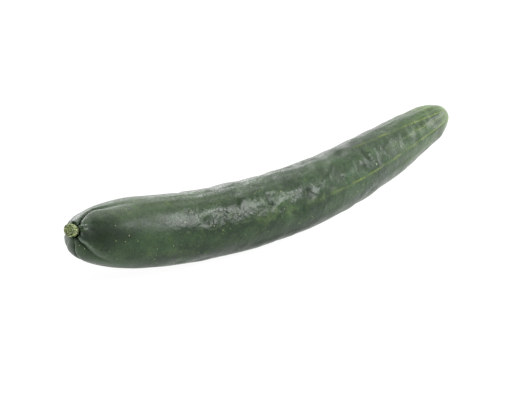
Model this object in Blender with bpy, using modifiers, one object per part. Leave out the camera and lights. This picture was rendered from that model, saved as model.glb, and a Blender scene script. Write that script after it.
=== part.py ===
"""A slicing cucumber lying on its side, with the cut stub of its stalk.

The fruit is one solid: a round body swept along a gently bent middle line, with ten lobes
round a hollow at the stalk end. The stub of the stalk stands in that hollow.
Metres, +Z up. The fruit lies along X, its stalk end at -X and its outer bend towards -Y.
"""
import math

import bmesh
import bpy
from mathutils import Vector

# The middle line. Each station is a share of the length, counted from the stalk end.
LENGTH = 0.3555                     # along the middle line
LINE_STEPS = 356                    # short straight steps that the line is traced in
HEADINGS = ((0.0, -4.5), (0.2, -15.3), (0.4, -6.6), (0.6, 5.9), (0.8, 9.6), (1.0, 7.0))  # deg from +X
NECK_LIFT = 0.0134                  # the stalk end curves up off the ground
NECK_SHARE = 0.30
TIP_LIFT = 0.0029                   # and so does the blossom end, a little
TIP_SHARE = 0.30

# The girth: the radius along the body before its ends are rounded off.
GIRTHS = ((0.0, 0.0209), (0.2, 0.02065), (0.4, 0.0204), (0.6, 0.0191), (0.8, 0.0168), (1.0, 0.01415))
STALK_ROUNDING = 0.0647             # length over which the stalk end draws in
STALK_BLUNTNESS = 2.2               # exponent of its curve: 2 is an ellipse, more is blunter
TIP_ROUNDING = 0.1205
TIP_BLUNTNESS = 3.52
BELLY_FLAT = 0.00035                # how much of the round belly is pressed flat on the ground

# The stalk end: a hollow with a flat floor, off the middle, and lobes parted by grooves.
HOLLOW_FLOOR = 0.0049               # radius
HOLLOW_RIM = 0.0058                 # radius
HOLLOW_DEPTH = 0.0045               # of the floor, from the very end of the rounded form
HOLLOW_FRONT = 0.0041               # shift of the hollow towards the outer bend
HOLLOW_UP = 0.0062                  # and upwards
SHIFT_REACH = 0.012                 # the shift dies out over this length
LOBES = 10
GROOVE_TURN = 3.0                   # deg, from straight up to the first groove
GROOVE_DEPTH = 0.0013
GROOVE_WIDTH = 7.0                  # deg, half width
GROOVE_REACH = 0.070                # the grooves die out over this length
END_ON_REACH = 0.016                # this near the end, the grooves cut in lengthwise

# The stub of the stalk.
STUB_RADIUS = 0.0044                # at its foot
STUB_TIP_RADIUS = 0.0042
STUB_LENGTH = 0.0058
STUB_ANGLES = 5                     # the soft corners of a cucumber stalk
STUB_CORNER = 0.05                  # how far they stand out, as a share of the radius
STUB_EDGE = 0.0005                  # rounding of the cut edge
STUB_SHARP = 50.0                   # deg, corners sharper than this are edges
STUB_SIDES = 30
GAP = 0.0003                        # air between the stub's foot and the hollow's floor

# Fineness of the fruit's surface.
SIDES = 60
FLOOR_ROWS = 2
WALL_ROWS = 2
BODY_ROWS = 44

SKIN = ("skin", (0.045, 0.085, 0.035, 1.0), 0.38)
STALK = ("stem", (0.38, 0.42, 0.16, 1.0), 0.75)


def through(stations, share):
    """A smooth value at a share of the length, passing through the given stations."""
    last = len(stations) - 1
    slopes = []
    for index in range(len(stations)):
        before = stations[max(index - 1, 0)]
        after = stations[min(index + 1, last)]
        slopes.append((after[1] - before[1]) / (after[0] - before[0]))
    index = 0
    while index < last - 1 and share > stations[index + 1][0]:
        index += 1
    start, end = stations[index], stations[index + 1]
    span = end[0] - start[0]
    t = (share - start[0]) / span
    return ((1 + 2 * t) * (1 - t) ** 2 * start[1] + t * (1 - t) ** 2 * span * slopes[index]
            + t * t * (3 - 2 * t) * end[1] + t * t * (t - 1) * span * slopes[index + 1])


def fade(distance, reach):
    """1 at no distance, easing to 0 at the given reach and beyond."""
    return max(0.0, 1.0 - distance / reach) ** 2


def axis_height(station):
    """Height of the middle line: the belly lies on the ground and both ends lift off it."""
    share = station / LENGTH
    return (through(GIRTHS, share) - BELLY_FLAT + NECK_LIFT * fade(share, NECK_SHARE)
            + TIP_LIFT * fade(1.0 - share, TIP_SHARE))


def trace_middle_line():
    """Points of the middle line, one for each short step from the stalk end."""
    step = LENGTH / LINE_STEPS
    x = y = 0.0
    points = [Vector((x, y, axis_height(0.0)))]
    for index in range(LINE_STEPS):
        heading = math.radians(through(HEADINGS, (index + 0.5) / LINE_STEPS))
        x += step * math.cos(heading)
        y += step * math.sin(heading)
        points.append(Vector((x, y, axis_height((index + 1) * step))))
    return points


MIDDLE_LINE = trace_middle_line()


def frame_at(station):
    """The middle line's point, and its directions onward, to the front and up, at a station."""
    place = min(max(station / LENGTH * LINE_STEPS, 0.0), LINE_STEPS)
    index = min(int(place), LINE_STEPS - 1)
    start, end = MIDDLE_LINE[index], MIDDLE_LINE[index + 1]
    point = start.lerp(end, place - index)
    near = MIDDLE_LINE[max(index - 1, 0)]
    far = MIDDLE_LINE[min(index + 2, LINE_STEPS)]
    onward = (far - near).normalized()
    front = onward.cross(Vector((0.0, 0.0, 1.0))).normalized()
    return point, onward, front, front.cross(onward)


def rounded_radius(station):
    """Radius of the body at a station, with both ends rounded off."""
    from_stalk = min(station / STALK_ROUNDING, 1.0)
    from_tip = min((LENGTH - station) / TIP_ROUNDING, 1.0)
    stalk_end = (1.0 - (1.0 - from_stalk) ** STALK_BLUNTNESS) ** (1.0 / STALK_BLUNTNESS)
    tip_end = (1.0 - (1.0 - from_tip) ** TIP_BLUNTNESS) ** (1.0 / TIP_BLUNTNESS)
    return through(GIRTHS, station / LENGTH) * stalk_end * tip_end


def rim_station():
    """The station where the rounded stalk end is as wide as the hollow's rim."""
    share = HOLLOW_RIM / GIRTHS[0][1]
    return STALK_ROUNDING * (1.0 - (1.0 - share ** STALK_BLUNTNESS) ** (1.0 / STALK_BLUNTNESS))


def outline_rows():
    """Rows from the middle of the hollow, over its rim and along to the tip.

    Each row is its station, its radius and whether it lies on the body, not in the hollow.
    """
    rows = [(HOLLOW_DEPTH, 0.0, False)]
    for row in range(1, FLOOR_ROWS + 1):
        rows.append((HOLLOW_DEPTH, HOLLOW_FLOOR * row / FLOOR_ROWS, False))
    rim = rim_station()
    for row in range(1, WALL_ROWS):
        share = row / WALL_ROWS
        rows.append((HOLLOW_DEPTH + (rim - HOLLOW_DEPTH) * share,
                     HOLLOW_FLOOR + (HOLLOW_RIM - HOLLOW_FLOOR) * share, False))
    for row in range(BODY_ROWS + 1):
        share = 0.5 - 0.5 * math.cos(math.pi * row / BODY_ROWS)
        station = rim + (LENGTH - rim) * share
        rows.append((station, rounded_radius(station), True))
    return rows


def groove_depth(station, angle):
    """How deep the grooves between the lobes cut in at a place on the stalk end."""
    pitch = 360.0 / LOBES
    turn = (math.degrees(angle) - GROOVE_TURN + pitch / 2) % pitch - pitch / 2
    return GROOVE_DEPTH * math.exp(-(turn / GROOVE_WIDTH) ** 2) * fade(station, GROOVE_REACH)


def skin_point(row, angle):
    """A point of the skin in one row, its angle counted from straight up towards the front."""
    station, radius, on_body = row
    centre, onward, front, up = frame_at(station)
    shift = fade(station if on_body else rim_station(), SHIFT_REACH)
    depth = groove_depth(station, angle) if on_body else 0.0
    end_on = fade(station, END_ON_REACH)
    radius -= depth * (1.0 - end_on)
    point = (centre + front * (HOLLOW_FRONT * shift + radius * math.sin(angle))
             + up * (HOLLOW_UP * shift + radius * math.cos(angle)) + onward * depth * end_on)
    point.z = max(point.z, 0.0)
    return point


def material(slot, colour, roughness):
    """A plain finish for one slot."""
    made = bpy.data.materials.new(slot)
    made.use_nodes = True
    shader = made.node_tree.nodes["Principled BSDF"]
    shader.inputs["Base Color"].default_value = colour
    shader.inputs["Roughness"].default_value = roughness
    shader.inputs["Metallic"].default_value = 0.0
    return made


def finished_object(name, form, finish, collection):
    """Turn a form into a named object with its finish, shaded smooth."""
    mesh = bpy.data.meshes.new(name)
    form.to_mesh(mesh)
    form.free()
    mesh.shade_smooth()
    mesh.materials.append(material(*finish))
    made = bpy.data.objects.new(name, mesh)
    collection.objects.link(made)
    return made


def make_fruit(collection):
    """The fruit: a ball whose rings are drawn out along the middle line."""
    rows = outline_rows()
    last_row = len(rows) - 1
    form = bmesh.new()
    bmesh.ops.create_uvsphere(form, u_segments=SIDES, v_segments=last_row, radius=1.0)
    for vert in form.verts:
        row = round(math.acos(max(-1.0, min(1.0, vert.co.z))) / math.pi * last_row)
        angle = -math.atan2(vert.co.y, vert.co.x)
        vert.co = skin_point(rows[row], angle)
    return finished_object("fruit", form, SKIN, collection)


def make_stem_stub(collection):
    """The stub: a short five-cornered stalk, cut square, its foot just off the hollow's floor."""
    centre, onward, front, up = frame_at(HOLLOW_DEPTH)
    shift = fade(rim_station(), SHIFT_REACH)
    foot = centre + front * HOLLOW_FRONT * shift + up * HOLLOW_UP * shift - onward * GAP
    form = bmesh.new()
    bmesh.ops.create_cone(form, cap_ends=True, segments=STUB_SIDES, radius1=STUB_RADIUS,
                          radius2=STUB_TIP_RADIUS, depth=STUB_LENGTH)
    for vert in form.verts:
        angle = math.atan2(vert.co.y, vert.co.x)
        swell = 1.0 + STUB_CORNER * math.cos(STUB_ANGLES * angle)
        along = vert.co.z + STUB_LENGTH / 2
        across = vert.co.xy * swell
        vert.co = foot - onward * along + up * across.x - front * across.y
    stub = finished_object("stem_stub", form, STALK, collection)
    edge = stub.modifiers.new("cut_edge", "BEVEL")
    edge.width = STUB_EDGE
    edge.segments = 2
    edge.limit_method = "ANGLE"
    edge.angle_limit = math.radians(STUB_SHARP)
    stub.data.set_sharp_from_angle(angle=math.radians(STUB_SHARP))
    return stub


def centre_on_origin(pieces):
    """Move the pieces so that the middle of their common box stands over the origin."""
    corners = [vert.co for piece in pieces for vert in piece.data.vertices]
    middle = Vector((0.0, 0.0, 0.0))
    for axis in (0, 1):
        values = [corner[axis] for corner in corners]
        middle[axis] = (min(values) + max(values)) / 2
    for piece in pieces:
        for vert in piece.data.vertices:
            vert.co -= middle


for old in list(bpy.data.objects):
    bpy.data.objects.remove(old, do_unlink=True)

cucumber = bpy.data.collections.new("cucumber")
bpy.context.scene.collection.children.link(cucumber)
centre_on_origin([make_fruit(cucumber), make_stem_stub(cucumber)])
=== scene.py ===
import math

import bpy
import numpy as np
from mathutils import Matrix, Vector, noise


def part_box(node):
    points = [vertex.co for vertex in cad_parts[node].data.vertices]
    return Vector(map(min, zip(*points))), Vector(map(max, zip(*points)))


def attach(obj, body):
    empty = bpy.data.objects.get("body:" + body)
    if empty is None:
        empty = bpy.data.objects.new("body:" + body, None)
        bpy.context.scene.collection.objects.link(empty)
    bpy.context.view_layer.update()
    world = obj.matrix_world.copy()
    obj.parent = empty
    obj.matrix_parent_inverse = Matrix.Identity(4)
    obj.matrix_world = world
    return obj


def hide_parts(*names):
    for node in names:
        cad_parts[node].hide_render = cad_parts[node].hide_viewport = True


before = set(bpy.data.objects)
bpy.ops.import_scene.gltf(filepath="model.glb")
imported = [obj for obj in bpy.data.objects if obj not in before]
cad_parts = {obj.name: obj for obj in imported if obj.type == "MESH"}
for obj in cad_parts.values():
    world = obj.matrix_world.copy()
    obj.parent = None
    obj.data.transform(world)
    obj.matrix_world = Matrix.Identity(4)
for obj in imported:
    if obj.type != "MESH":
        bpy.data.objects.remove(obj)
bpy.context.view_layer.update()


# ---------------------------------------------------------------------------------------------
# The fruit. One grown piece: a long, gently bent greenhouse cucumber with a thin waxy skin over
# wet flesh. Its lobes are drawn together round the stalk, the middle is dented and wrinkled, and
# pale lines run up from the blossom end. It lies on its side, pressed a little flat underneath.
# ---------------------------------------------------------------------------------------------
MM = 0.001
LENGTH = 0.3555                     # along the middle line
LINE_STEPS = 356
# At shares of the length: the way that the middle line heads, in degrees, and the radius.
HEADINGS = ((0.0, -4.5), (0.2, -15.3), (0.4, -6.6), (0.6, 5.9), (0.8, 9.6), (1.0, 7.0))
GIRTHS = ((0.0, 0.0209), (0.2, 0.02065), (0.4, 0.0204), (0.6, 0.0191), (0.8, 0.0168), (1.0, 0.01415))
NECK_LIFT, NECK_SHARE = 0.0134, 0.30
TIP_LIFT, TIP_SHARE = 0.0029, 0.30
STALK_ROUNDING, STALK_BLUNTNESS = 0.0647, 2.2
TIP_ROUNDING, TIP_BLUNTNESS = 0.1205, 3.52
BELLY_FLAT = 0.00035
RIM = 0.0058                        # radius of the hollow's rim
HOLLOW_FRONT, HOLLOW_UP, SHIFT_REACH = 0.0041, 0.0062, 0.012     # the hollow is off the middle line
# The hollow's own outline in mm, from its middle to its rim: radius, and station.
HOLLOW_OUTLINE = ((0, 4.8), (1.5, 4.8), (3.0, 4.7), (3.9, 4.4), (4.2, 3.7), (4.3, 2.8), (4.5, 2.0),
                  (5.0, 1.65), (5.5, 1.65))
HOLLOW_STEPS, BODY_STEPS = 120, 3000
LIP_PASSES, LIP_STATION, LIP_RADII = 20, 5.5, (0.5, 9)      # where the lip is softened, in mm
END_SPACING = 0.22                  # between the rows at the two ends, against the middle
STALK_ROWS, TIP_ROWS = (4, 26), (3, 18)     # mm, where the spacing grows from each end
SIDES, ROWS = 224, 440


def through(stations, share):
    """A smooth curve through values given at shares of the length."""
    at, value = np.array(stations).T
    last = len(at) - 1
    slope = np.array([(value[min(i + 1, last)] - value[max(i - 1, 0)])
                      / (at[min(i + 1, last)] - at[max(i - 1, 0)]) for i in range(last + 1)])
    share = np.asarray(share, float)
    i = np.clip(np.searchsorted(at, share) - 1, 0, last - 1)
    span = at[i + 1] - at[i]
    t = (share - at[i]) / span
    return ((1 + 2 * t) * (1 - t) ** 2 * value[i] + t * (1 - t) ** 2 * span * slope[i]
            + t * t * (3 - 2 * t) * value[i + 1] + t * t * (t - 1) * span * slope[i + 1])


def fade(distance, reach):
    """1 at no distance, easing to 0 at the given reach and beyond."""
    return np.clip(1.0 - distance / reach, 0.0, None) ** 2


def plain_radius(station):
    """Radius of the smooth body, with both ends rounded off."""
    stalk = np.clip(1 - station / STALK_ROUNDING, 0, 1)
    tip = np.clip(1 - (LENGTH - station) / TIP_ROUNDING, 0, 1)
    return (through(GIRTHS, station / LENGTH)
            * np.clip(1 - stalk ** STALK_BLUNTNESS, 0, 1) ** (1 / STALK_BLUNTNESS)
            * np.clip(1 - tip ** TIP_BLUNTNESS, 0, 1) ** (1 / TIP_BLUNTNESS))


def middle_line():
    """Points of the middle line: belly on the ground, neck and tip lifting off it."""
    step = LENGTH / LINE_STEPS
    heading = np.radians(through(HEADINGS, (np.arange(LINE_STEPS) + 0.5) / LINE_STEPS))
    share = np.linspace(0, 1, LINE_STEPS + 1)
    x = np.concatenate([[0], np.cumsum(step * np.cos(heading))])
    y = np.concatenate([[0], np.cumsum(step * np.sin(heading))])
    z = (through(GIRTHS, share) - BELLY_FLAT + NECK_LIFT * fade(share, NECK_SHARE)
         + TIP_LIFT * fade(1 - share, TIP_SHARE))
    return np.column_stack([x, y, z])


LINE = middle_line()


def line_frame(station):
    """Point and directions onward, to the front and up, at stations of the middle line."""
    place = np.clip(station / LENGTH * LINE_STEPS, 0, LINE_STEPS)
    i = np.minimum(place.astype(int), LINE_STEPS - 1)
    point = LINE[i] + (LINE[i + 1] - LINE[i]) * (place - i)[:, None]
    onward = LINE[np.minimum(i + 2, LINE_STEPS)] - LINE[np.maximum(i - 1, 0)]
    onward /= np.linalg.norm(onward, axis=1)[:, None]
    front = np.cross(onward, [0, 0, 1.0])
    front /= np.linalg.norm(front, axis=1)[:, None]
    return point, onward, front, np.cross(front, onward)


rim_share = 1 - (RIM / GIRTHS[0][1]) ** STALK_BLUNTNESS
RIM_STATION = STALK_ROUNDING * (1 - rim_share ** (1 / STALK_BLUNTNESS))


def softened(values):
    """Each value drawn halfway to the mean of its two neighbours."""
    return (np.roll(values, 1, 0) + 2 * values + np.roll(values, -1, 0)) / 4


def profile_rows():
    """Station, radius and shift of each row, from the middle of the hollow to the blossom end."""
    body = RIM_STATION + (LENGTH - RIM_STATION) * (0.5 - 0.5 * np.cos(np.linspace(0, math.pi, BODY_STEPS)))
    corners = range(len(HOLLOW_OUTLINE))
    between = np.linspace(0, corners[-1], HOLLOW_STEPS)
    hollow_r, hollow_s = (np.interp(between, corners, part) for part in np.array(HOLLOW_OUTLINE).T * MM)
    r = np.concatenate([hollow_r, plain_radius(body)])
    s = np.concatenate([hollow_s, body])
    for _ in range(LIP_PASSES):
        near = (s < LIP_STATION * MM) & (r > LIP_RADII[0] * MM) & (r < LIP_RADII[1] * MM)
        s, r = np.where(near, softened(s), s), np.where(near, softened(r), r)
    run = np.concatenate([[0], np.cumsum(np.hypot(np.diff(r), np.diff(s)))])
    from_stalk = np.clip((run - STALK_ROWS[0] * MM) / (STALK_ROWS[1] * MM), 0, 1)
    from_tip = np.clip((run[-1] - run + TIP_ROWS[0] * MM) / (TIP_ROWS[1] * MM), 0, 1)
    weight = 1.0 / (END_SPACING + (1 - END_SPACING) * from_stalk * from_tip)
    count = np.concatenate([[0], np.cumsum(0.5 * (weight[1:] + weight[:-1]) * np.diff(run))])
    at = np.interp(np.linspace(0, count[-1], ROWS + 1), count, run)
    rim_run = run[HOLLOW_STEPS]
    station, radius = np.interp(at, run, s), np.interp(at, run, r)
    shift = fade(np.where(at < rim_run, RIM_STATION, station), SHIFT_REACH)
    return station, radius, shift, at - rim_run


# The lobes crowd in on the stalk from above, below and behind, and leave a gap only at the front.
CROWD_START, CROWD_REACH = 1.0, 5.0     # mm, before the rim and from there on
CROWD_UP_DOWN, CROWD_BEHIND = 0.32, 0.30
station, radius, shift, past_rim = profile_rows()
around = np.radians(-180 + 360 * np.arange(SIDES) / SIDES)
point, onward, front, up = line_frame(station)
sine, cosine = np.sin(around), np.cos(around)
crowding = 1 - np.clip((past_rim / MM + CROWD_START) / CROWD_REACH, 0, 1)[:, None] ** 0.5
girth = radius[:, None] * (1 - crowding * (CROWD_UP_DOWN * cosine ** 2
                                           + CROWD_BEHIND * np.clip(-sine, 0, 1) ** 2))
skin = (point[:, None] + front[:, None] * (HOLLOW_FRONT * shift[:, None] + girth * sine)[..., None]
        + up[:, None] * (HOLLOW_UP * shift[:, None] + girth * cosine)[..., None])
low, high = (np.array(corner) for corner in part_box("fruit"))
for axis in (0, 1):
    skin[..., axis] += (low[axis] + high[axis] - skin[..., axis].min() - skin[..., axis].max()) / 2


def facing(surface):
    """Outward direction of every point of the ringed surface."""
    along = np.gradient(surface, axis=0)
    across = np.roll(surface, -1, 1) - np.roll(surface, 1, 1)
    normal = np.cross(across, along)
    normal[0] = -onward[0]
    normal[-1] = onward[-1]
    length = np.linalg.norm(normal, axis=2)[..., None]
    return normal / np.maximum(length, 1e-12)


normal = facing(skin)
if (normal[ROWS // 2] * (skin[ROWS // 2] - skin[ROWS // 2].mean(0))).sum() < 0:
    normal[1:-1] *= -1

# For every point of the skin: its station, its distance from the middle line and its way past the
# rim, in millimetres; its angle, 0 on top and 90 in front, in degrees; and how far it stands in or
# out of the smooth form, in millimetres.
S = station[:, None] / MM + 0 * around
R = radius[:, None] / MM + 0 * around
A = np.degrees(around)[None, :] + 0 * S
P = past_rim[:, None] / MM + 0 * S
relief = np.zeros_like(S)


def turn(angle):
    """Angle from a given direction, between -180 and 180."""
    return (A - angle + 180) % 360 - 180


def rise(value, low, high):
    """0 below low, easing to 1 above high."""
    t = np.clip((value - low) / (high - low), 0, 1)
    return t * t * (3 - 2 * t)


def band(angle, across):
    """1 along one side of the fruit, fading out across it."""
    return np.exp(-(turn(angle) / across) ** 2)


def patch(measure, centre, reach, angle, across):
    """1 in the middle of an oval patch of the skin, fading out along and across it."""
    return np.exp(-((measure - centre) / reach) ** 2 - (turn(angle) / across) ** 2)


GRAIN_ROUND, GRAIN_APART, GRAIN_GAIN = 17, 7.3, 1.6


def grain(along, across, seed):
    """Soft noise between about -1 and 1, its patches so many millimetres along and across."""
    bend = np.radians(A)
    spots = np.stack([S / along + seed * GRAIN_APART, GRAIN_ROUND * np.sin(bend) / across,
                      GRAIN_ROUND * np.cos(bend) / across], -1)
    flat = [noise.noise(Vector(spot)) for spot in spots.reshape(-1, 3)]
    return np.array(flat).reshape(S.shape) * GRAIN_GAIN


# The grooves between the lobes: (station, angle) from the rim onward, depth, reach, lip beyond it.
GROOVES = (
    (((2.5, 15), (5.5, 4), (8, -3), (13, -12), (17.5, -15), (21.5, -8), (27, -3), (40, 1), (60, 5)),
     2.3, 48, 0.60),
    (((2.5, 40), (6, 33), (9, 29), (15, 32), (22, 35)), 0.8, 14, 0.08),
    (((2.5, 116), (5.5, 105), (10, 110), (14, 117), (24, 122)), 2.1, 28, -1.05),
    (((2.5, 156), (5, 161), (9, 161), (14, 167), (24, 171)), 1.9, 24, -0.85),
    (((2.5, -156), (7, -151), (22, -148)), 0.6, 22, -0.20),
    (((2.5, -118), (8, -112), (24, -108)), 1.0, 24, 0.15),
    (((2.5, -84), (8, -80), (26, -74)), 0.8, 26, 0.10),
    (((2.5, -46), (8, -52), (26, -50)), 0.5, 30, 0.10),
)
GROOVE_WIDTH, GROOVE_WIDENING = 0.46, 0.035     # mm, at the rim and for each mm past it
GROOVE_FLOOR, GROOVE_SIDES = 0.80, 0.34         # shares of the sharp cut and of its soft sides
LIP_SIDE, FAR_SIDE = 3.0, 5.0       # how wide the soft sides are, in groove widths
LIP_PLACE, LIP_WIDTH = 2.5, 1.7     # in groove widths from the middle of the groove
GROOVE_RUN_IN, GROOVE_FADING = 3.5, 1.2
SHADE_WIDTH, SHADE_DEPTH = 1.1, 2.0
# The grooves carry painted shade, and their lips a painted highlight.
groove_shade, lip_highlight = np.zeros_like(S), np.zeros_like(S)
for path, depth, reach, lip in GROOVES:
    places, angles = np.array(path).T
    off = np.radians(turn(np.interp(S, places, angles))) * np.maximum(R, 4.0)
    width = GROOVE_WIDTH + GROOVE_WIDENING * np.clip(P, 0, 60)
    slope = np.where(off * lip < 0, FAR_SIDE, LIP_SIDE) * width
    cut = GROOVE_FLOOR * np.exp(-(off / width) ** 2) + GROOVE_SIDES * np.exp(-(off / slope) ** 2)
    fading = (np.clip(1 - np.clip(P, 0, None) / reach, 0, 1) ** GROOVE_FADING
              * np.clip(1 + P / GROOVE_RUN_IN, 0, 1))
    relief -= depth * fading * cut
    beyond = off - math.copysign(LIP_PLACE, lip) * width
    raised = abs(lip) * fading * np.exp(-(beyond / (LIP_WIDTH * width)) ** 2)
    relief += raised
    lip_highlight = np.maximum(lip_highlight, raised)
    shaded = np.exp(-(off / (SHADE_WIDTH * width)) ** 2) * min(depth, SHADE_DEPTH) / SHADE_DEPTH
    groove_shade = np.maximum(groove_shade, fading * shaded)

# A small nub shows between the stalk and the shoulder, with a painted highlight on it.
NUB = (4.2, 1.3, 45, 5)             # station, reach, angle and width
NUB_HEIGHT, NUB_HIGHLIGHT = 0.35, 0.6
nub = patch(S, *NUB)
relief += NUB_HEIGHT * nub
lip_highlight = np.maximum(lip_highlight, NUB_HIGHLIGHT * nub)

# The shoulder's own shapes: measured along, centre, reach, angle, width, height.
SHOULDER_SHAPES = (
    (S, 14, 10, -76, 34, -1.1),     # a little flattened on the far side
    (S, 29, 13, 48, 32, 1.4),       # fuller in front
    (P, 2.0, 4.4, 60, 28, -1.2),    # and dropping more steeply to the stalk there
    (P, 0.5, 2.2, -25, 35, 0.9),    # a lobe that leans right over the foot of the stalk
)
for measure, centre, reach, angle, across, height in SHOULDER_SHAPES:
    relief += height * patch(measure, centre, reach, angle, across)

# One broad facet lies along the shoulder, where the flesh is fullest.
FACET_ANGLE, FACET_ROUND = 37, 20.6     # deg, and the radius there in mm
FACET_STATION, FACET_REACH, FACET_WIDTH = 72, 24, 6.5
FACET_DEPTH, FACET_TILT = 0.40, 0.085
facet = np.radians(turn(FACET_ANGLE)) * FACET_ROUND
relief -= (FACET_DEPTH + FACET_TILT * facet) * np.exp(-((S - FACET_STATION) / FACET_REACH) ** 2
                                                      - (facet / FACET_WIDTH) ** 2)

# Faint ribs run the whole way, plainer at the two ends; one of them stands out on top of the neck.
RIBS, RIB_HEIGHT, RIB_MIDDLE = 10, 0.14, 0.35
RIB_SWAY, RIB_SWAY_LENGTH = 12, 70
NECK_RIB_ANGLE, NECK_RIB_TURN = 9, 0.02     # deg, and how much less for each mm along
NECK_RIB_HEIGHT, NECK_RIB_WIDTH = 0.30, 5
ribs = np.cos(np.radians(A * RIBS + RIB_SWAY * np.sin(S / RIB_SWAY_LENGTH)))
relief += RIB_HEIGHT * ribs * (RIB_MIDDLE + rise(S, 290, 335)) * rise(S, 20, 60) * rise(354 - S, 0, 12)
neck_rib = np.exp(-((A - NECK_RIB_ANGLE + NECK_RIB_TURN * S) / NECK_RIB_WIDTH) ** 2)
relief += NECK_RIB_HEIGHT * neck_rib * rise(S, 28, 50) * (1 - rise(S, 80, 125))

# Dents and low bumps, where the flesh has shrunk between the seeds' rows: station, angle, size
# along, size across, height, and how far it is turned from lying straight along the fruit.
DENTS = (
    (66, 24, 5, 3, -.22, 0), (75, 36, 4, 3, -.30, 0), (86, 52, 5, 2.6, -.42, 20),
    (98, 48, 4, 3, -.18, 0), (107, 30, 3.2, 7, -.36, 10), (112, 12, 4, 3, -.34, 0),
    (116, 24, 3, 7, .22, -25), (128, 32, 3, 5, .14, 0), (133, 41, 5.2, 4.4, -.75, 0),
    (141, 45, 4.5, 5, .26, 0), (131, 13, 3, 1.4, -.25, 0), (126, 57, 6, 2.2, -.22, 0),
    (139, 60, 4, 2, -.30, 15), (148, 72, 4.5, 2.6, -.42, -20), (153, 64, 2.4, 2, -.30, 0),
    (160, 74, 4, 3, .14, 0), (163, 50, 4, 4.2, -.68, 0), (171, 53, 5, 3, .28, 0),
    (182, 54, 2, 1.8, -.26, 0), (186, 31, 12, 2.2, .32, 36), (181, 22, 9, 3, -.26, 36),
    (193, 38, 7, 4, -.22, 10), (146, -4, 5, 2, -.28, 0), (104, -24, 3.2, 5, -.52, -30),
    (126, -22, 4, 5, -.48, -25), (152, -14, 8, 3, .2, 0), (172, -24, 6, 5, -.46, -25),
    (198, -26, 5, 7, -.55, -20), (209, 2, 5, 2.8, -.55, 10), (212, -9, 3, 2, .2, 0),
    (223, -27, 7, 7, -.48, -20), (228, 24, 4.5, 5.4, -.58, 0), (236, 30, 4, 4, .22, 0),
    (243, 2, 5, 2, -.24, 0), (225, 40, 5, 3, -.24, 0), (234, 54, 4.5, 2.4, .32, 25),
    (226, 52, 3, 3, -.26, 0), (240, 58, 4, 2.4, -.28, 20), (246, 43, 2.2, 1.6, .25, 0),
    (256, 40, 4, 2, -.2, 0), (250, 60, 4, 3, .15, 0), (263, 52, 6, 4, -.22, 0),
    (268, 34, 6, 3, -.18, 0), (276, 46, 5, 2.4, -.32, 10), (284, 50, 5, 4, .30, 0),
    (290, 60, 4.5, 3, -.26, 0), (298, 52, 4, 3, .2, 0), (301, 30, 7, 3, -.22, 10),
    (309, 42, 5, 1.8, .26, 0), (308, 62, 5, 3, -.22, 0), (317, 31, 3, 5, .28, 20),
    (322, 52, 5, 3, -.24, 0), (327, 66, 3, 2, .14, 0), (218, 77, 1.2, .9, .34, 0),
    (205, 58, 6, 3, -.2, 0), (216, 66, 5, 2.2, .14, 0), (178, 92, 8, 4, -.18, 0),
    (164, 97, 2, 1.5, .2, 0), (140, 100, 9, 4, -.2, 0), (205, 96, 10, 4, .16, 0),
    (228, 108, 7, 4, -.3, 0), (252, 100, 7, 4, -.26, 0), (300, 104, 8, 5, -.24, 0),
    (100, 118, 9, 5, -.28, 0), (72, 122, 8, 6, .25, 0), (130, 122, 8, 6, .28, 0),
    (146, 124, 5, 5, -.28, 0), (166, 122, 7, 5, .24, 0), (192, 120, 6, 5, -.26, 0),
    (250, 122, 6, 6, -.22, 0), (285, -30, 9, 6, -.28, 0), (262, -28, 8, 6, .26, 0),
    (240, -28, 6, 5, .24, 0), (211, -30, 4, 5, .26, 0), (184, -32, 5, 4, .18, 0),
    (155, -34, 5, 5, .24, 0), (145, -32, 3.4, 6, -.42, -20), (118, -34, 6, 5, .24, 0),
    (82, -34, 3.6, 6, -.30, 0), (312, -28, 5, 6, -.22, 0), (332, -20, 6, 6, .16, 0),
    (44, -34, 12, 8, .30, 0), (337, -24, 10, 8, .34, 0), (209, 126, 6, 6, .28, 0),
    (232, 126, 6, 7, .34, 0), (270, 122, 8, 6, .30, 0), (304, 116, 7, 6, -.20, 0),
    (320, 112, 5, 6, -.24, 0), (334, 112, 7, 6, .34, 0), (348, 110, 5, 6, -.22, 0),
    (173, 49, 4.5, 3.2, .30, 0), (200, 44, 4.5, 3, .34, 0), (193, 50, 3, 3, -.30, 0),
    (213, 46, 4, 4, -.30, 0), (222, 40, 4, 3, .26, 0), (248, 34, 4, 4, -.26, 0),
)
STRAY_ALONG, STRAY_ACROSS = 1.0, 0.7    # how far the edge of a dent wanders, in mm
DENT_STEEP, DENT_GENTLE = 0.70, 1.45    # towards the stalk, and behind
TIP_STATION, TIP_STEEP = 250, 1.10      # the dents near the tip are softer
DENT_EDGE, BRIM, BRIM_REACH = 1.1, 0.14, 5      # a faint brim of the other sign runs round a dent
stray = (grain(5, 5, 14) + 0.5 * grain(2.4, 2.4, 15), grain(5, 5, 16) + 0.5 * grain(2.4, 2.4, 17))


def press(place, angle, along, across, height, slant):
    """Raise or sink a soft oval patch of the skin."""
    ahead = S - place + STRAY_ALONG * stray[0]
    if height < 0:                  # a dent is steep towards the stalk and runs out gently behind
        along = along * np.where(ahead < 0, DENT_STEEP if place < TIP_STATION else TIP_STEEP, DENT_GENTLE)
    aside = np.radians(turn(angle)) * np.maximum(R, 6.0) + STRAY_ACROSS * stray[1]
    c, s = math.cos(math.radians(slant)), math.sin(math.radians(slant))
    out = ((c * ahead - s * aside) / along) ** 2 + ((s * ahead + c * aside) / across) ** 2
    return height * ((1 + BRIM) * np.exp(-out ** DENT_EDGE) - BRIM * np.exp(-out / BRIM_REACH))


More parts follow.
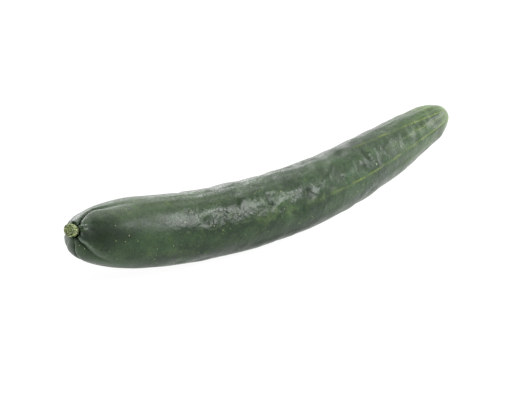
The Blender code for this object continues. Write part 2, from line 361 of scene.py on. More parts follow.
DEEP_DENT, DEEP_GAIN, DENT_GAIN = -0.4, 1.45, 1.10
FRONT_STATIONS, FRONT_ANGLES, FRONT_GAIN = (168, 262), (15, 65), 1.35   # the plainest dents
# Painted shade lies in the deeper dents, from the stalk's side to their far end.
PIT_START, PIT_SOFT, PIT_SOFT_TOP = 0.12, 0.42, 0.35
pit_shade = np.zeros_like(S)
for dent in DENTS:
    place, angle, along, across, height, slant = dent
    pressed = (DEEP_GAIN if height < DEEP_DENT else DENT_GAIN) * press(*dent)
    if FRONT_STATIONS[0] < place < FRONT_STATIONS[1] and FRONT_ANGLES[0] < angle < FRONT_ANGLES[1]:
        pressed *= FRONT_GAIN
    relief += pressed
    depth = np.clip((-pressed - PIT_START) / (PIT_SOFT if angle > 5 else PIT_SOFT_TOP), 0, 1)
    pit_shade = np.maximum(pit_shade, depth * rise(place + 0.5 * along - S, -2.0, 2.0))
# The painted shade in the pits lies in places only, and least on top.
PIT_EVEN, PIT_TOP = 0.55, 0.6
pit_shade *= PIT_EVEN + (1 - PIT_EVEN) * rise(grain(3.0, 2.4, 25), -0.3, 0.4)
pit_shade *= 1 - PIT_TOP * band(-14, 22)

# The sides that are not so plainly marked have their own, scattered at random.
HOLLOWS, HOLLOW_SEED, FRONT_SHARE = 210, 41, 0.6
scatter = np.random.default_rng(HOLLOW_SEED)
for _ in range(HOLLOWS):
    place, angle = scatter.uniform(58, 338), scatter.uniform(-180, 180)
    along, across = scatter.uniform(1.8, 5.0), scatter.uniform(1.5, 4.0)
    height, slant = scatter.choice([-1, -1, 1]) * scatter.uniform(0.10, 0.42), scatter.uniform(-40, 40)
    if -20 < angle < 100:
        height *= FRONT_SHARE
    relief += press(place, angle, along, across, height, slant)

# Fine ripples that lie across the fruit, and a softer unevenness under them.
RIPPLE_HEIGHT, RIPPLE_MORE, RIPPLE_LESS = 0.10, 0.03, 0.09
middle = rise(S, 40, 80) * rise(342 - S, 0, 32)
ripple = grain(2.0, 2.4, 1) * 0.40 + grain(4.4, 5.0, 2)
patchy = 0.35 + 0.65 * rise(grain(22, 14, 3), -0.3, 0.5)
calm = 1 - 0.65 * band(-12, 24) - 0.9 * band(118, 32)
ripple_height = RIPPLE_HEIGHT + RIPPLE_MORE * rise(S, 88, 104) - RIPPLE_LESS * rise(S, 225, 265)
relief += ripple_height * ripple * middle * patchy * calm
# Low ridges run lengthwise along the top and towards the blossom end.
RIDGE_HEIGHT, TIP_RIDGES = 0.34, 0.6
lengthwise = 0.7 * grain(42, 4.5, 20) + 0.5 * grain(24, 2.6, 21)
ridged = np.maximum(band(-8, 26) * rise(S, 40, 90), TIP_RIDGES * rise(S, 255, 300))
relief += RIDGE_HEIGHT * lengthwise * ridged * rise(352 - S, 0, 28)
# The softer unevenness: everywhere, then finer, then the swells that break up the shine in front.
relief += 0.20 * grain(11, 7, 4) * (0.25 + 0.75 * middle)
relief += 0.070 * grain(1.7, 2.0, 5) * (0.2 + 0.8 * middle) * calm
relief += 0.17 * grain(6.5, 4.6, 22) * band(50, 30) * rise(S, 120, 160) * rise(325 - S, 0, 30)
relief += 0.20 * grain(7.5, 5.5, 23) * band(42, 26) * rise(S, 240, 262) * rise(345 - S, 0, 30)
# A low fold runs along the front towards the blossom end.
FOLD_RIDGE, FOLD_VALLEY, FOLD_WIDTH = 0.34, 0.30, 5
fold = FOLD_RIDGE * band(95, FOLD_WIDTH) - FOLD_VALLEY * band(83, FOLD_WIDTH)
relief += fold * rise(S, 228, 250) * rise(340 - S, 0, 30)

# Towards the blossom end the skin is tighter, and the small wrinkles run out.
TIGHT_PASSES = 3
tight = rise(S, 225, 250) * rise(353 - S, 0, 6)
for _ in range(TIGHT_PASSES):
    eased = (np.roll(relief, 1, 1) + 2 * relief + np.roll(relief, -1, 1)) / 4
    relief += tight * (softened(eased) - relief)

# The scar of the flower: a small puckered dimple right at the tip.
SCAR_DEPTH, SCAR_RADIUS = 0.8, 2.6
PUCKERS, PUCKER_HEIGHT, PUCKER_RADIUS, PUCKER_WIDTH = 7, 0.12, 3.6, 1.8
near_tip = S > 300
relief -= SCAR_DEPTH * np.exp(-(R / SCAR_RADIUS) ** 2) * near_tip
pucker = np.cos(np.radians(A * PUCKERS)) * np.exp(-((R - PUCKER_RADIUS) / PUCKER_WIDTH) ** 2)
relief += PUCKER_HEIGHT * pucker * near_tip

skin = skin + normal * (relief * MM)[..., None]
skin[..., 2] = np.maximum(skin[..., 2], 0.0)

# The skin itself: a ball whose rings and sides are drawn out to the rows and sides of the fruit.
bpy.ops.object.select_all(action="DESELECT")
bpy.ops.mesh.primitive_uv_sphere_add(segments=SIDES, ring_count=ROWS, radius=1.0)
fruit = bpy.context.object
fruit.name = "cucumber_skin"
fruit.data.name = "cucumber_skin"
ball = np.empty(len(fruit.data.vertices) * 3)
fruit.data.vertices.foreach_get("co", ball)
ball = ball.reshape(-1, 3)
row = np.rint(np.arccos(np.clip(ball[:, 2], -1, 1)) / math.pi * ROWS).astype(int)
side = np.rint((-np.arctan2(ball[:, 1], ball[:, 0]) + math.pi) / (2 * math.pi) * SIDES).astype(int) % SIDES
placed = skin[row, side]
placed[row == 0] = skin[0].mean(0)
placed[row == ROWS] = skin[-1].mean(0)
fruit.data.vertices.foreach_set("co", placed.ravel())
fruit.data.update()

# The map along and around the fruit; its seam runs under the belly. A second map counts the pale
# lines around the fruit, so that each line stays thin and even however it wanders.
LANES = (                           # angle at the middle, near the tip and at the tip; start; strength
    (-158, -160, -162, 230, 0.7), (-126, -128, -130, 190, 0.8), (-98, -97, -95, 250, 0.5),
    (-68, -66, -62, 210, 0.8), (-36, -32, -26, 255, 0.4), (-5, 15, 34, 214, 1.0), (39, 41, 45, 246, 0.7),
    (66, 64, 68, 168, 1.0), (92, 92, 94, 250, 0.45), (118, 120, 122, 205, 0.7), (149, 148, 150, 250, 0.5),
    (175, 176, 177, 220, 0.7))
LANE_STATIONS = (200, 280, 340)
LANE_LEAD, LANE_GROWTH = 6, 42      # mm, where a line begins to show and is at its full strength
LANE_WANDER = 1.1                   # deg
DASHED_LANE, DASH_STRENGTH = 7, 0.28    # one line shows again as faint dashes, past the neck
lane_count = len(LANES)
lane_angles = np.array([np.interp(S[:, 0], LANE_STATIONS, lane[:3]) for lane in LANES]).T
lane_angles = np.column_stack([lane_angles[:, -1] - 360, lane_angles, lane_angles[:, 0] + 360])
lane_numbers = np.arange(-1, lane_count + 1)
wander = LANE_WANDER * grain(16, 200, 6)
lane = np.array([np.interp(A[i] + wander[i], lane_angles[i], lane_numbers) for i in range(ROWS + 1)])
nearest = np.rint(lane).astype(int) % lane_count
starts = np.array([entry[3] for entry in LANES])[nearest]
strengths = np.array([entry[4] for entry in LANES])[nearest]
broken = np.maximum(0.30 + 0.70 * rise(grain(10, 30, 7), -0.5, 0.4), rise(S, 270, 315))
line_strength = strengths * rise(S, starts - LANE_LEAD, starts + LANE_GROWTH) * broken
dashed = (nearest == DASHED_LANE) * rise(S, 50, 62) * rise(122 - S, 0, 8)
line_strength = np.maximum(line_strength, DASH_STRENGTH * dashed * rise(grain(3, 30, 18), 0.0, 0.35))

while fruit.data.uv_layers:
    fruit.data.uv_layers.remove(fruit.data.uv_layers[0])
chart = fruit.data.uv_layers.new(name="OFBake")
lines_chart = fruit.data.uv_layers.new(name="lines")
run_share = (past_rim - past_rim[0]) / (past_rim[-1] - past_rim[0])
loop_vertex = np.empty(len(fruit.data.loops), int)
fruit.data.loops.foreach_get("vertex_index", loop_vertex)
loop_start = np.array([face.loop_start for face in fruit.data.polygons])
loop_total = np.array([face.loop_total for face in fruit.data.polygons])
loop_face = np.repeat(np.arange(len(loop_start)), loop_total)
loop_row, loop_side = row[loop_vertex], side[loop_vertex]
round_at = loop_side / SIDES
lane_at = lane[loop_row, loop_side]
at_end = np.isin(loop_row, (0, ROWS))
highest = np.maximum.reduceat(np.where(at_end, -1, round_at), loop_start)
wraps = (highest[loop_face] - round_at > 0.5) & ~at_end
round_at = round_at + wraps
lane_at = lane_at + wraps * lane_count
ring = ~at_end
ring_count = np.add.reduceat(ring.astype(float), loop_start)


def closed_at_end(values):
    """At the two end points, the mean of the face's other corners."""
    return np.where(at_end, (np.add.reduceat(values * ring, loop_start) / ring_count)[loop_face], values)


chart.data.foreach_set("uv", np.column_stack([run_share[loop_row], closed_at_end(round_at)]).ravel())
lines_chart.data.foreach_set("uv", np.column_stack([line_strength[loop_row, loop_side],
                                                    closed_at_end(lane_at)]).ravel())

# Where the skin is paler: towards the tip and in streaks; on top of the neck the paler patch is a painted
# sheen, and on the lips a painted highlight.
pale_and_sheen = (0.60 * rise(S, 330, 352) * (0.7 + 0.5 * grain(26, 3, 8)) + 0.12 * rise(S, 230, 345)
        + 0.4 * rise(S, 341, 354))
# A painted sheen on top of the neck, and a painted highlight on the lips.
pale_and_sheen += 0.24 * patch(S, 62, 36, 8, 25) + 0.15 * lip_highlight
pale_and_sheen += 0.85 * patch(S, 331, 15, -16, 22)
pale_and_sheen += 0.05 * band(18, 28) * rise(S, 60, 120)
pale_and_sheen += 0.22 * rise(S, 245, 325) * rise(grain(34, 1.7, 19), -0.1, 0.8)
# Clouded yellower patches: strength, centre, reach, angle, width, the grain and its range.
CLOUDED = (
    (0.42, 135, 19, 67, 11, (5, 4, 9), (-0.5, 0.6)),
    (0.40, 176, 14, 65, 6, (5, 4, 10), (-0.5, 0.5)),
    (0.30, 30, 14, 20, 14, (5, 4, 11), (-0.6, 0.5)),
    (0.22, 60, 30, 98, 16, (6, 5, 12), (-0.5, 0.5)),
)
for strength, centre, reach, angle, across, grained, shown in CLOUDED:
    pale_and_sheen += strength * patch(S, centre, reach, angle, across) * rise(grain(*grained), *shown)

# Painted shade: in the grooves and pits, inside the hollow, towards the stalk, and in some broad patches
# that damp the shine on the shoulder, beside the stalk, on the underside and along the top; the patches
# are given as strength, measured along, centre, reach, angle and width.
PAINTED_SHADE_PATCHES = (
    (0.95, S, 14, 16, 66, 44), (0.34, S, 33, 13, 44, 16), (0.80, P, 2.5, 4.0, 70, 22),
    (1.00, S, 9.5, 4.5, 45, 14), (0.78, S, 140, 74, 115, 19), (0.45, S, 215, 55, -18, 22),
)
STALK_SHADE, GROOVE_SHADE_SHARE, LIP_CLEAR = 0.22, 0.75, 0.9
painted_shade = np.maximum(STALK_SHADE * (1 - rise(S, 20, 150)), np.maximum(GROOVE_SHADE_SHARE * groove_shade, pit_shade))
for strength, measure, centre, reach, angle, across in PAINTED_SHADE_PATCHES:
    painted_shade = np.maximum(painted_shade, strength * patch(measure, centre, reach, angle, across))
# The painted shade leaves the lips' painted highlight clear, and fills the hollow round the stalk.
painted_shade = np.maximum(painted_shade * (1 - LIP_CLEAR * np.clip(1.3 * lip_highlight, 0, 1)), 1 - rise(P, -4.2, -2.4))

# Where the flower's scar is, and where a grey painted highlight lies: on the lips, on the shoulder's facet
# and on the lobe behind the stalk, where it stands in for a reflection.
scar = near_tip * (1 - rise(R + 0.5 * grain(2, 2, 13), 2.2, 3.6))
facet_highlight = 0.30 * patch(S, 69, 15, 38, 9) * rise(grain(7, 4, 24), -0.5, 0.7)
painted_highlight = np.maximum(0.66 * lip_highlight, facet_highlight)
painted_highlight = np.maximum(painted_highlight, 0.90 * patch(P, 2.0, 4.0, -150, 24))
# One attribute carries them: paler skin and painted sheen in red, painted shade in green, the scar in blue,
# painted highlight in alpha.
tone = fruit.data.color_attributes.new("tone", "FLOAT_COLOR", "POINT")
shades = np.stack([np.clip(pale_and_sheen, 0, 1), np.clip(painted_shade, 0, 1), scar, np.clip(painted_highlight, 0, 1)], -1)
tone.data.foreach_set("color", shades[row, side].astype(np.float32).ravel())
fruit.data.shade_smooth()


def part_of(finish, kind, **settings):
    """A new node of a finish, with its plain settings."""
    made = finish.node_tree.nodes.new(kind)
    for name, value in settings.items():
        if hasattr(made, name):
            setattr(made, name, value)
        else:
            made.inputs[name.replace("_", " ")].default_value = value
    return made


def feed(finish, source, target):
    """Join one node's output to another's input."""
    finish.node_tree.links.new(source, target)


def fill(finish, socket, value):
    """Give a socket a number, a colour or another node's output."""
    if isinstance(value, (int, float)):
        socket.default_value = value
    elif isinstance(value, tuple):
        socket.default_value = (*value, 1.0)
    else:
        feed(finish, value, socket)


def sums(finish, operation, first, second):
    """A sum of two outputs or numbers."""
    made = part_of(finish, "ShaderNodeMath", operation=operation)
    fill(finish, made.inputs[0], first)
    fill(finish, made.inputs[1], second)
    return made.outputs[0]


def times(finish, first, second):
    """One output or number times another."""
    return sums(finish, "MULTIPLY", first, second)


def spread(finish, value, low, high, new_low=0.0, new_high=1.0, smooth=True):
    """An output eased from one range to another."""
    made = part_of(finish, "ShaderNodeMapRange", interpolation_type="SMOOTHSTEP" if smooth else "LINEAR")
    feed(finish, value, made.inputs["Value"])
    for name, number in (("From Min", low), ("From Max", high), ("To Min", new_low), ("To Max", new_high)):
        made.inputs[name].default_value = number
    return made.outputs[0]


def blend(finish, share, under, over):
    """One colour laid over another by a share."""
    made = part_of(finish, "ShaderNodeMix", data_type="RGBA")
    for socket, value in ((0, share), (6, under), (7, over)):       # its share and two colour sockets
        fill(finish, made.inputs[socket], value)
    return made.outputs[2]


def cloud(finish, place, scale, detail=3.0, rough=0.55):
    """Soft noise, read from a place."""
    made = part_of(finish, "ShaderNodeTexNoise", Scale=scale, Detail=detail, Roughness=rough)
    feed(finish, place, made.inputs["Vector"])
    return made.outputs["Fac"]


SKIN_DEEP = (0.0150, 0.0365, 0.0145)
SKIN_LIGHT = (0.0400, 0.0860, 0.0330)
SKIN_YELLOW = (0.0850, 0.1350, 0.0300)
# The colour of painted shade.
SKIN_PAINTED_SHADE = (0.0080, 0.0170, 0.0070)
SKIN_BLOOM = (0.0400, 0.0660, 0.0400)
# The grey of the painted highlight.
SKIN_PAINTED_HIGHLIGHT = (0.1700, 0.2100, 0.1720)
# The paler skin's colour, also used for the painted sheen.
SKIN_PALE_AND_SHEEN = (0.1700, 0.2700, 0.0850)
LINE_GREEN = (0.2100, 0.2700, 0.0550)
LINE_GREY = (0.2000, 0.2600, 0.1700)
SPECK = (0.6800, 0.7200, 0.3600)
SCAR = (0.2600, 0.2000, 0.1000)
BLACK = (0.0, 0.0, 0.0)
# The noises of the skin: how some are stretched, and their scale, detail and roughness.
STRETCHED, CROSSWISE = (0.42, 1.0, 1.0), (0.95, 0.80, 0.80)
BROAD, WAXY = (85.0, 4.0), (48.0, 3.0)
MOTTLE, FINE = (230.0, 5.0, 0.65), (900.0, 3.0, 0.6)
WRINKLE, PORE = (520.0, 4.0, 0.6), (900.0, 4.0, 0.6)
# How much of a noise shows, and how strongly.
LIGHT_RANGE, YELLOW_RANGE, YELLOW_SHARE = (0.36, 0.66), (0.52, 0.74), 0.45
BLOOM_RANGE, BLOOM_SHARE = (0.48, 0.68), 0.30
PALE_RANGE, PORE_RANGE = (0.30, 0.62, 0.45, 1.0), (0.38, 0.66, 0.0, 0.36)
SHADE_SHARE, SCAR_SHARE, LINE_SHARE = 0.85, 0.85, 0.62
LINE_CORE, LINE_HALO, LINE_RAGGED = (0.01, 0.070, 1.0, 0.0), (0.02, 0.24, 0.30, 0.0), 0.05
LINE_TURNS_GREEN = (-0.02, 0.03)    # m along the fruit
SPECK_SCALE, SPECK_FROM = 390.0, 0.54
SPECK_SIZES, SPECK_STRENGTHS = (0.045, 0.125), (0.25, 0.90)
# How dull the waxy surface is: all over, on the scar, where shade is painted, and at the neck.
GLOSS, SCAR_DULL, SHADE_DULL = (0.3, 0.75, 0.22, 0.33), 0.35, 0.20
DEEPEST_SHADE_DULL = (0.6, 1.0, 0.0, 0.35)
NECK_DULL_STARTS, NECK_DULL_ENDS = (-0.158, -0.146, 0.0, 0.13), (-0.128, -0.110, 1.0, 0.0)
SMOOTH_NECK, SMOOTH_TIP = (-0.160, -0.130, 0.35, 1.0), (0.080, 0.150, 1.0, 0.35)
SHEEN_LEVEL = 0.28
# The bumps of the surface: strength, and height in metres.
WRINKLE_BUMP, PORE_BUMP, BEAD_BUMP = (1.0, 0.00031), (0.35, 0.00018), (0.5, 0.0003)
skin_finish = bpy.data.materials.new("cucumber_skin")
skin_finish.use_nodes = True
shader = skin_finish.node_tree.nodes["Principled BSDF"]
where = part_of(skin_finish, "ShaderNodeTexCoord").outputs["Object"]
axes = part_of(skin_finish, "ShaderNodeSeparateXYZ")
feed(skin_finish, where, axes.inputs[0])
onward_axis = axes.outputs["X"]
stretched = part_of(skin_finish, "ShaderNodeMapping", Scale=STRETCHED)
feed(skin_finish, where, stretched.inputs["Vector"])
long_way = stretched.outputs["Vector"]
painted = part_of(skin_finish, "ShaderNodeAttribute", attribute_name="tone")
tones = part_of(skin_finish, "ShaderNodeSeparateColor")
feed(skin_finish, painted.outputs["Color"], tones.inputs[0])
pale_and_sheen_tone, shade_tone, scar_tone = tones.outputs
mottle = cloud(skin_finish, where, *MOTTLE)
fine = cloud(skin_finish, where, *FINE)

# Its colour: deep and lighter green, yellower mottling, bloom, then what is painted on: paler skin and
# painted sheen, painted shade, and a grey painted highlight.
colour = blend(skin_finish, spread(skin_finish, cloud(skin_finish, long_way, *BROAD), *LIGHT_RANGE),
               SKIN_DEEP, SKIN_LIGHT)
colour = blend(skin_finish, times(skin_finish, spread(skin_finish, mottle, *YELLOW_RANGE), YELLOW_SHARE),
               colour, SKIN_YELLOW)
waxy = spread(skin_finish, cloud(skin_finish, long_way, *WAXY), *BLOOM_RANGE)
colour = blend(skin_finish, times(skin_finish, waxy, BLOOM_SHARE), colour, SKIN_BLOOM)
paler_and_sheen = times(skin_finish, pale_and_sheen_tone, spread(skin_finish, mottle, *PALE_RANGE))
colour = blend(skin_finish, paler_and_sheen, colour, SKIN_PALE_AND_SHEEN)
# Painted shade, darkest in the hollow.
colour = blend(skin_finish, times(skin_finish, shade_tone, SHADE_SHARE), colour, SKIN_PAINTED_SHADE)
# A grey painted highlight on the lips and facet, and a painted reflection on the lobe behind the stalk.
colour = blend(skin_finish, painted.outputs["Alpha"], colour, SKIN_PAINTED_HIGHLIGHT)

# The pale lines, each a thin core in a wider halo; they are greyer towards the stalk.
lines = part_of(skin_finish, "ShaderNodeSeparateXYZ")
feed(skin_finish, part_of(skin_finish, "ShaderNodeUVMap", uv_map="lines").outputs["UV"], lines.inputs[0])
ragged = times(skin_finish, sums(skin_finish, "SUBTRACT", fine, 0.5), LINE_RAGGED)
beside = sums(skin_finish, "ADD", sums(skin_finish, "PINGPONG", lines.outputs["Y"], 0.5), ragged)
core = times(skin_finish, spread(skin_finish, beside, *LINE_CORE), lines.outputs["X"])
halo = times(skin_finish, spread(skin_finish, beside, *LINE_HALO), lines.outputs["X"])
colour = blend(skin_finish, halo, colour, SKIN_YELLOW)
line_colour = blend(skin_finish, spread(skin_finish, onward_axis, *LINE_TURNS_GREEN), LINE_GREY, LINE_GREEN)
colour = blend(skin_finish, times(skin_finish, core, LINE_SHARE), colour, line_colour)

# Pale specks, some larger and stronger than others.
speckle = part_of(skin_finish, "ShaderNodeTexVoronoi", Scale=SPECK_SCALE)
feed(skin_finish, where, speckle.inputs["Vector"])
chosen = part_of(skin_finish, "ShaderNodeSeparateColor")
feed(skin_finish, speckle.outputs["Color"], chosen.inputs[0])
speck_size = spread(skin_finish, chosen.outputs[0], SPECK_FROM, 1.0, *SPECK_SIZES, smooth=False)
speck = sums(skin_finish, "LESS_THAN", speckle.outputs["Distance"], speck_size)
speck = times(skin_finish, speck, sums(skin_finish, "GREATER_THAN", chosen.outputs[0], SPECK_FROM))
speck = times(skin_finish, speck, spread(skin_finish, chosen.outputs[1], 0.0, 1.0, *SPECK_STRENGTHS,
                                         smooth=False))
colour = blend(skin_finish, speck, colour, SPECK)
colour = blend(skin_finish, times(skin_finish, scar_tone, SCAR_SHARE), colour, SCAR)
colour = blend(skin_finish, spread(skin_finish, fine, *PORE_RANGE), colour, BLACK)
feed(skin_finish, colour, shader.inputs["Base Color"])

# Its gloss: waxy, and duller on the scar, where shade is painted and along the neck.
gloss = spread(skin_finish, mottle, *GLOSS)
dull_neck = times(skin_finish, spread(skin_finish, onward_axis, *NECK_DULL_STARTS),
                  spread(skin_finish, onward_axis, *NECK_DULL_ENDS))
for duller in (times(skin_finish, scar_tone, SCAR_DULL), times(skin_finish, shade_tone, SHADE_DULL),
               spread(skin_finish, shade_tone, *DEEPEST_SHADE_DULL), dull_neck):
    gloss = sums(skin_finish, "ADD", gloss, duller)
feed(skin_finish, gloss, shader.inputs["Roughness"])
shader.inputs["Specular IOR Level"].default_value = SHEEN_LEVEL

# The finest wrinkles, pores and raised specks, each on top of the last.
crosswise = part_of(skin_finish, "ShaderNodeMapping", Scale=CROSSWISE)
feed(skin_finish, where, crosswise.inputs["Vector"])
rough_part = times(skin_finish, spread(skin_finish, onward_axis, *SMOOTH_NECK),
                   spread(skin_finish, onward_axis, *SMOOTH_TIP))
wrinkled = times(skin_finish, rough_part, cloud(skin_finish, crosswise.outputs["Vector"], *WRINKLE))
wrinkles, pores, beads = (part_of(skin_finish, "ShaderNodeBump", Strength=strength, Distance=height)
                          for strength, height in (WRINKLE_BUMP, PORE_BUMP, BEAD_BUMP))
feed(skin_finish, wrinkled, wrinkles.inputs["Height"])
feed(skin_finish, cloud(skin_finish, where, *PORE), pores.inputs["Height"])
feed(skin_finish, wrinkles.outputs["Normal"], pores.inputs["Normal"])
feed(skin_finish, speck, beads.inputs["Height"])
feed(skin_finish, pores.outputs["Normal"], beads.inputs["Normal"])
feed(skin_finish, beads.outputs["Normal"], shader.inputs["Normal"])
fruit.data.materials.append(skin_finish)
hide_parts("fruit")
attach(fruit, "root")


# ---------------------------------------------------------------------------------------------
# The stub of the stalk: a short piece of dry, granular stem that stands in the hollow. It was cut
# off a little askew, and its surface has shrunk into pale grains with olive green between them.
# ---------------------------------------------------------------------------------------------
STUB_SIDES, STUB_RADIUS, STUB_LENGTH = 40, 0.0034, 0.0052
STUB_CUT_TURN = -16.0               # deg, slope of the cut
STUB_RINGS = ((0.0011, -0.0006), (0.0012, 0.0004))      # the cut end: inset, and its way up
STUB_GRID = 0.00017
STUB_STATION = 0.0045               # of its foot, along the middle line
STUB_LEAN = (-0.0003, 0.0010, 0.0007)    # it stands a little off the middle, up and to the back
STUB_WEAR, STUB_WEAR_PASSES = 0.5, 6
STUB_LUMPS = (("shrunk", "CLOUDS", 0.0015, 0.0014), ("grains", "VORONOI", 0.0007, -0.0008))
stub_low, stub_high = (Vector(corner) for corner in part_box("stem_stub"))
stub_place = (stub_low + stub_high) / 2 + Vector(STUB_LEAN)
stub_axis = -Vector(line_frame(np.array([STUB_STATION]))[1][0])
stub_turn = stub_axis.to_track_quat("Z", "Y").to_euler()
bpy.ops.object.select_all(action="DESELECT")
bpy.ops.mesh.primitive_cylinder_add(vertices=STUB_SIDES, radius=STUB_RADIUS, depth=STUB_LENGTH)
stub = bpy.context.object
stub.name = "stalk_stub"
stub.data.name = "stalk_stub"


def choose(piece, test):
    """Select the faces of a piece that pass a test, and go into edit mode."""
    bpy.ops.object.mode_set(mode="OBJECT")
    for face in piece.data.polygons:
        face.select = bool(test(face))
    for edge in piece.data.edges:
        edge.select = False
    for vertex in piece.data.vertices:
        vertex.select = False
    for face in piece.data.polygons:
        if face.select:
            for index in face.vertices:
                piece.data.vertices[index].select = True
    bpy.ops.object.mode_set(mode="EDIT")
    bpy.ops.mesh.select_mode(type="FACE")


choose(stub, lambda face: face.normal.z > 0.9)
bpy.ops.transform.rotate(value=math.radians(STUB_CUT_TURN), orient_axis="Y",
                         center_override=(0, 0, STUB_LENGTH / 2))
for inward, upward in STUB_RINGS:
    bpy.ops.mesh.inset(thickness=inward)
    bpy.ops.transform.translate(value=(0, 0, upward))
bpy.ops.object.mode_set(mode="OBJECT")
regrid = stub.modifiers.new("even_grid", "REMESH")
regrid.mode = "VOXEL"
regrid.voxel_size = STUB_GRID
bpy.ops.object.modifier_apply(modifier=regrid.name)
soften = stub.modifiers.new("worn_edges", "SMOOTH")
soften.factor, soften.iterations = STUB_WEAR, STUB_WEAR_PASSES
bpy.ops.object.modifier_apply(modifier=soften.name)
for name, kind, scale, strength in STUB_LUMPS:
    pattern = bpy.data.textures.new(name, kind)
    pattern.noise_scale = scale
    lumps = stub.modifiers.new(name, "DISPLACE")
    lumps.texture = pattern
    lumps.strength = strength
    lumps.mid_level = 0.5
    bpy.ops.object.modifier_apply(modifier=lumps.name)
stub.rotation_euler = stub_turn
stub.location = stub_place
bpy.ops.object.transform_apply(location=True, rotation=True, scale=True)
stub.data.shade_smooth()

STUB_PALE = (0.90, 0.92, 0.62)
STUB_OLIVE = (0.30, 0.37, 0.130)
STUB_DEEP = (0.080, 0.125, 0.040)
GRAIN_SCALE, GRAIN_SIZE, GRAIN_SHARE = 1150.0, (0.22, 0.50, 1.0, 0.0), (0.15, 0.85, 0.15, 1.0)
OLIVE_CLOUD, OLIVE_RANGE, RASP_CLOUD = (420.0, 3.0), (0.40, 0.62), (1800.0, 3.0)
STUB_DULL, RASP_STRENGTH, RASP_HEIGHT = 0.7, 0.6, 0.0003
stub_finish = bpy.data.materials.new("stalk_stub")
stub_finish.use_nodes = True
shader = stub_finish.node_tree.nodes["Principled BSDF"]
where = part_of(stub_finish, "ShaderNodeTexCoord").outputs["Object"]
grains = part_of(stub_finish, "ShaderNodeTexVoronoi", Scale=GRAIN_SCALE)
feed(stub_finish, where, grains.inputs["Vector"])
picked = part_of(stub_finish, "ShaderNodeSeparateColor")
feed(stub_finish, grains.outputs["Color"], picked.inputs[0])
patches = cloud(stub_finish, where, *OLIVE_CLOUD)
colour = blend(stub_finish, spread(stub_finish, patches, *OLIVE_RANGE), STUB_DEEP, STUB_OLIVE)
dots = times(stub_finish, spread(stub_finish, grains.outputs["Distance"], *GRAIN_SIZE),
             spread(stub_finish, picked.outputs[0], *GRAIN_SHARE))
feed(stub_finish, blend(stub_finish, dots, colour, STUB_PALE), shader.inputs["Base Color"])
shader.inputs["Roughness"].default_value = STUB_DULL
rasp = part_of(stub_finish, "ShaderNodeBump", Strength=RASP_STRENGTH, Distance=RASP_HEIGHT)
feed(stub_finish, cloud(stub_finish, where, *RASP_CLOUD), rasp.inputs["Height"])
feed(stub_finish, rasp.outputs["Normal"], shader.inputs["Normal"])
stub.data.materials.append(stub_finish)
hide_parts("stem_stub")
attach(stub, "root")


# ---------------------------------------------------------------------------------------------
# The table: a plain white light table that glows evenly, with a low white wall round it. It stands
# in a soft studio that is brightest in front, lit by square soft boxes.
# ---------------------------------------------------------------------------------------------
TABLE_RADIUS, TABLE_SIDES, TABLE_DROP = 3.0, 96, 0.0002
BACKDROP_HEIGHT = 0.5
TABLE_GLOW, BACKDROP_GLOW = 0.95, 1.0
TABLE_GREY, TABLE_DULL = (0.12, 0.12, 0.12, 1), 0.9
WHITE = (1, 1, 1, 1)
bpy.ops.mesh.primitive_circle_add(vertices=TABLE_SIDES, radius=TABLE_RADIUS, fill_type="NGON",
                                  location=(0, 0, -TABLE_DROP))
floor = bpy.context.object
floor.name = "floor"
bpy.ops.mesh.primitive_cylinder_add(vertices=TABLE_SIDES, radius=TABLE_RADIUS, depth=BACKDROP_HEIGHT,
                                    end_fill_type="NOTHING", location=(0, 0, BACKDROP_HEIGHT / 2))
backdrop_ring = bpy.context.object
backdrop_ring.name = "backdrop"
for stage, glow in ((floor, TABLE_GLOW), (backdrop_ring, BACKDROP_GLOW)):
    glowing = bpy.data.materials.new(stage.name)
    glowing.use_nodes = True
    shader = glowing.node_tree.nodes["Principled BSDF"]
    shader.inputs["Base Color"].default_value = TABLE_GREY
    shader.inputs["Roughness"].default_value = TABLE_DULL
    shader.inputs["Specular IOR Level"].default_value = 0.0
    shader.inputs["Emission Color"].default_value = WHITE
    shader.inputs["Emission Strength"].default_value = glow
    stage.data.materials.append(glowing)

SKY_BRIGHT = (45.0, -20.0)          # azimuth and elevation of its brightest place
SKY_SPREAD = (-0.6, 0.95)           # how far round from there it goes from dim to bright
SKY_LOW, SKY_HIGH = 0.18, 1.2


def direction(azimuth, elevation):
    """A direction from the cucumber; azimuth 0 is the front, 90 the blossom end's side."""
    a, e = math.radians(azimuth), math.radians(elevation)
    return Vector((math.sin(a) * math.cos(e), -math.cos(a) * math.cos(e), math.sin(e)))


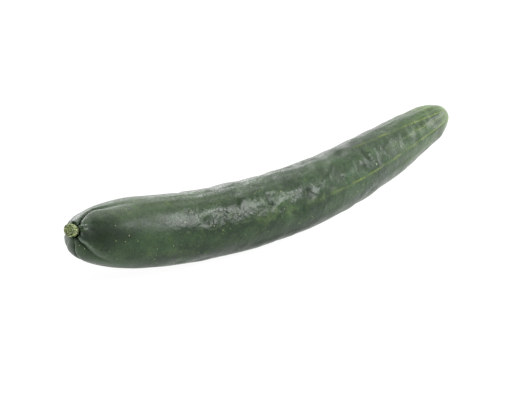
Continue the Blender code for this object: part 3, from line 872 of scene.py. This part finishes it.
world = bpy.data.worlds.new("studio")
bpy.context.scene.world = world
world.use_nodes = True
sky = world.node_tree.nodes["Background"]
sky.inputs["Color"].default_value = WHITE
toward = part_of(world, "ShaderNodeVectorMath", operation="DOT_PRODUCT")
feed(world, part_of(world, "ShaderNodeTexCoord").outputs["Generated"], toward.inputs[0])
toward.inputs[1].default_value = direction(*SKY_BRIGHT)
feed(world, spread(world, toward.outputs["Value"], *SKY_SPREAD, SKY_LOW, SKY_HIGH),
     sky.inputs["Strength"])

LAMP_DISTANCE = 1.8
LAMPS = (                           # name, azimuth and elevation, size of its side, power
    ("key_box", 38, 43, 0.66, 24.5), ("side_box", 130, 40, 0.51, 5.0), ("back_box", 150, 10, 1.01, 13.0),
    ("top_box", 122, 61, 1.25, 10.0), ("low_box", 86, 10, 0.56, 2.0), ("left_box", -170, 8, 0.8, 6.0))
for name, azimuth, elevation, size, power in LAMPS:
    toward_lamp = direction(azimuth, elevation)
    bpy.ops.object.light_add(type="AREA", location=toward_lamp * LAMP_DISTANCE)
    lamp = bpy.context.object
    lamp.name = name
    lamp.data.shape = "SQUARE"
    lamp.data.size = size
    lamp.data.energy = power
    lamp.rotation_euler = toward_lamp.to_track_quat("Z", "Y").to_euler()


# ---------------------------------------------------------------------------------------------
# The camera: a long lens on a stand, at the stalk's side and a little above the cucumber. It is
# turned a few degrees about its own line of sight.
# ---------------------------------------------------------------------------------------------
AZIMUTH, ELEVATION, ROLL = -53.2, 27.75, 9.0
DISTANCE, LENS, SENSOR = 1.2, 140.3, 36.0
AIM = (-0.0304, 0.0003, 0.02)
back = direction(AZIMUTH, ELEVATION)
level = Vector((math.cos(math.radians(AZIMUTH)), math.sin(math.radians(AZIMUTH)), 0))
tall = back.cross(level)
roll = math.radians(ROLL)
right = math.cos(roll) * level + math.sin(roll) * tall
upward = -math.sin(roll) * level + math.cos(roll) * tall
bpy.ops.object.camera_add()
camera = bpy.context.object
camera.data.lens = LENS
camera.data.sensor_width = SENSOR
turned = Matrix((right, upward, back)).transposed().to_4x4()
turned.translation = Vector(AIM) + back * DISTANCE
camera.matrix_world = turned
bpy.context.scene.camera = camera
bpy.context.scene.view_settings.view_transform = "Standard"
